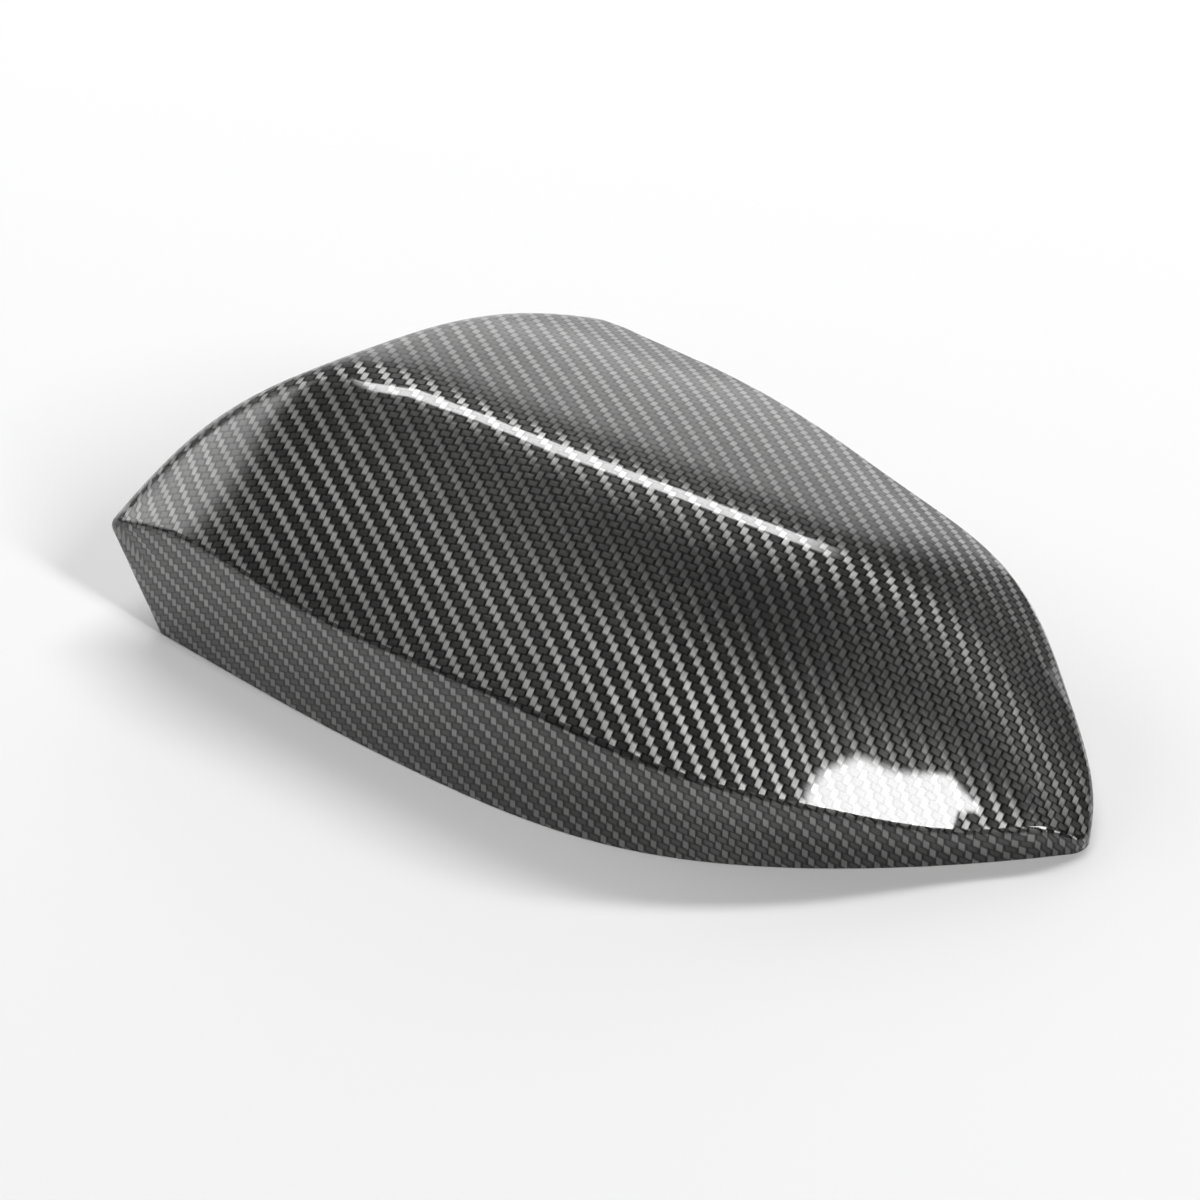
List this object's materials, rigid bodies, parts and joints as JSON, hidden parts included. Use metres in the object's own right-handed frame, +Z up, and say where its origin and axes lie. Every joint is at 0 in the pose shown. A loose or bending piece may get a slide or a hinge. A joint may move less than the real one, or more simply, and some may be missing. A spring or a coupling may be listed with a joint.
{
  "type": "wing mirror cover",
  "caption": "Wing mirror cover: a thin glossy carbon laminate shell, domed, with a soft ridge, a creased near wall, a blunt inner end and a pointed outer tip, bonded over a mirror housing.",
  "frame": {"origin": "middle of the bounding box in plan, on the surface that the rim rests on", "axes": "+X from the blunt end that faces the car to the outer tip, +Y from the tall near wall to the far rim, +Z up, away from the open side"},
  "size_m": [0.2604, 0.1384, 0.07],
  "materials": {
    "carbon_laminate": "twill carbon weave under a gloss clear coat"
  },
  "bodies": {
    "root": {"mirror_cover": "carbon_laminate"}
  },
  "joints": []
}
